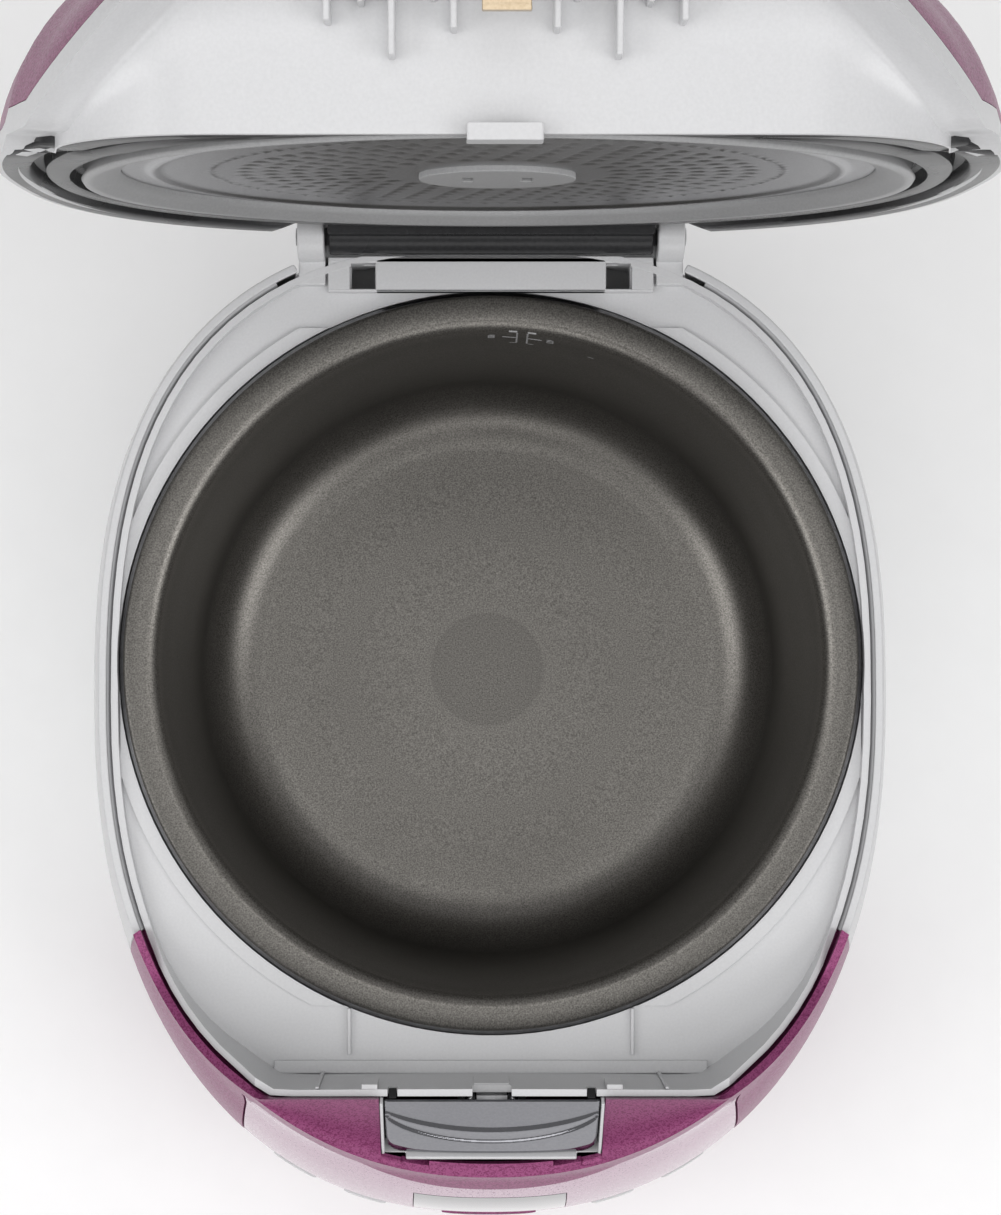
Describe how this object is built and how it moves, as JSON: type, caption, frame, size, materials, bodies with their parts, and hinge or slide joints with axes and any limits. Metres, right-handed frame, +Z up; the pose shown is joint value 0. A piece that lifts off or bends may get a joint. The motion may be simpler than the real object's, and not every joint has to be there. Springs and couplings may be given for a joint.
{
  "type": "rice cooker",
  "caption": "Oval electronic rice cooker with a hinged dome lid, lift-out pot, detachable inner lid plate, push-to-open latch and front control panel.",
  "frame": {"origin": "centre of the bounding box at the underside of the feet, with the lid open", "axes": "+Z up, +X to the cooker's right side seen from the front, front faces -Y, hinge at the rear along X"},
  "size_m": [0.2392, 0.3502, 0.4077],
  "materials": {
    "white_plastic": "satin moulded",
    "purple_metallic": "metallic paint under clear coat",
    "panel_film": "pearl film",
    "display": "dark glossy lens",
    "dark_plastic": "glossy charcoal",
    "black_plastic": "matt",
    "chrome": "polished",
    "non_stick": "speckled non-stick coating",
    "aluminium": "satin",
    "steel": "brushed",
    "brass": "plated",
    "rubber": "matt",
    "silicone": "translucent grey",
    "circuit_board": "solder mask",
    "clear_plastic": "smoky clear"
  },
  "bodies": {
    "body": {"base_cover": "white_plastic", "foot_front_left": "rubber", "foot_front_right": "rubber", "foot_rear_left": "rubber", "foot_rear_right": "rubber", "outer_shell": "white_plastic", "front_fascia": "purple_metallic", "control_panel": "panel_film", "display_lens": "display", "display_module": "black_plastic", "control_board": "circuit_board", "button_bezel": "white_plastic", "latch_bracket": "black_plastic", "latch_pin": "steel", "latch_spring": "steel", "deck_frame": "white_plastic", "inner_can": "steel", "side_heater": "steel", "can_posts": "black_plastic", "heating_plate": "aluminium", "sheath_heater": "steel", "sensor_holder": "black_plastic", "sensor_spring": "steel", "thermal_fuse": "white_plastic", "power_board": "circuit_board", "transformer": "brass", "relay": "black_plastic", "capacitors": "black_plastic", "inlet_socket": "black_plastic", "inlet_pins": "brass", "hinge_housing": "white_plastic", "hinge_pin": "steel", "hinge_springs": "steel", "base_screws": "steel"},
    "lid": {"lid_cover": "purple_metallic", "lid_rim": "white_plastic", "lid_frame": "white_plastic", "inner_cover": "dark_plastic", "lid_hinge": "dark_plastic", "lid_heater_plate": "aluminium", "latch_strike": "brass", "vent_seat": "white_plastic", "lid_sensor": "aluminium"},
    "pot": {"inner_pot": "non_stick"},
    "inner_plate": {"inner_plate": "aluminium", "plate_gasket": "silicone", "plate_boss": "silicone"},
    "plate_clip": {"plate_clip": "white_plastic"},
    "steam_cap": {"steam_cap_base": "white_plastic", "steam_cap_top": "chrome"},
    "open_button": {"open_button": "chrome"},
    "latch_lever": {"latch_lever": "white_plastic"},
    "sensor": {"sensor_cap": "aluminium"},
    "dew_tray": {"dew_tray": "clear_plastic"},
    "start_key": {"key_start": "purple_metallic"},
    "menu_key": {"key_menu": "white_plastic"},
    "timer_key": {"key_timer": "white_plastic"},
    "keep_warm_key": {"key_keep_warm": "white_plastic"},
    "cancel_key": {"key_cancel": "white_plastic"}
  },
  "joints": [
    {"name": "lid_hinge", "type": "hinge", "parent": "body", "child": "lid", "pos_m": [0, 0.1159, 0.165], "axis": [-1, 0, 0], "range_deg": [-84, 0], "stiffness_Nm_per_rad": 0.63, "springref_deg": 34.38},
    {"name": "pot_lift", "type": "slide", "parent": "body", "child": "pot", "axis": [0, -0.0599, 0.9982], "range_m": [0, 0.34]},
    {"name": "inner_plate_pull", "type": "slide", "parent": "lid", "child": "inner_plate", "axis": [0, -0.9945, -0.1045], "range_m": [0, 0.05]},
    {"name": "plate_clip_slide", "type": "slide", "parent": "lid", "child": "plate_clip", "axis": [0, -0.1045, 0.9945], "range_m": [0, 0.0025], "stiffness_N_per_m": 250},
    {"name": "steam_cap_pull", "type": "slide", "parent": "lid", "child": "steam_cap", "axis": [0, 0.9994, -0.0349], "range_m": [0, 0.04]},
    {"name": "open_button_press", "type": "hinge", "parent": "body", "child": "open_button", "pos_m": [0, -0.12673, 0.18874], "axis": [1, 0, 0], "range_deg": [0, 3], "stiffness_Nm_per_rad": 0.25, "springref_deg": -3.44},
    {"name": "latch_lever_turn", "type": "hinge", "parent": "body", "child": "latch_lever", "pos_m": [0, -0.1273, 0.178], "axis": [1, 0, 0], "range_deg": [0, 6.5], "stiffness_Nm_per_rad": 0.001, "springref_deg": -5.73},
    {"name": "sensor_press", "type": "slide", "parent": "body", "child": "sensor", "axis": [0, 0, -1], "range_m": [0, 0.003], "stiffness_N_per_m": 300, "springref_m": -0.004, "deforming": ["sensor_spring"]},
    {"name": "dew_tray_pull", "type": "slide", "parent": "body", "child": "dew_tray", "axis": [0, 1, 0], "range_m": [0, 0.05]},
    {"name": "start_key_press", "type": "slide", "parent": "body", "child": "start_key", "axis": [0, 0.9859, -0.1676], "range_m": [0, 0.001], "stiffness_N_per_m": 700},
    {"name": "menu_key_press", "type": "slide", "parent": "body", "child": "menu_key", "axis": [0.2746, 0.948, -0.1612], "range_m": [0, 0.001], "stiffness_N_per_m": 700},
    {"name": "timer_key_press", "type": "slide", "parent": "body", "child": "timer_key", "axis": [0.4813, 0.8642, -0.1469], "range_m": [0, 0.001], "stiffness_N_per_m": 700},
    {"name": "keep_warm_key_press", "type": "slide", "parent": "body", "child": "keep_warm_key", "axis": [-0.2746, 0.948, -0.1612], "range_m": [0, 0.001], "stiffness_N_per_m": 700},
    {"name": "cancel_key_press", "type": "slide", "parent": "body", "child": "cancel_key", "axis": [-0.4813, 0.8642, -0.1469], "range_m": [0, 0.001], "stiffness_N_per_m": 700}
  ],
  "couplings": [
    {"joint": "latch_lever_turn", "follows": "open_button_press", "ratio": 2.05}
  ]
}
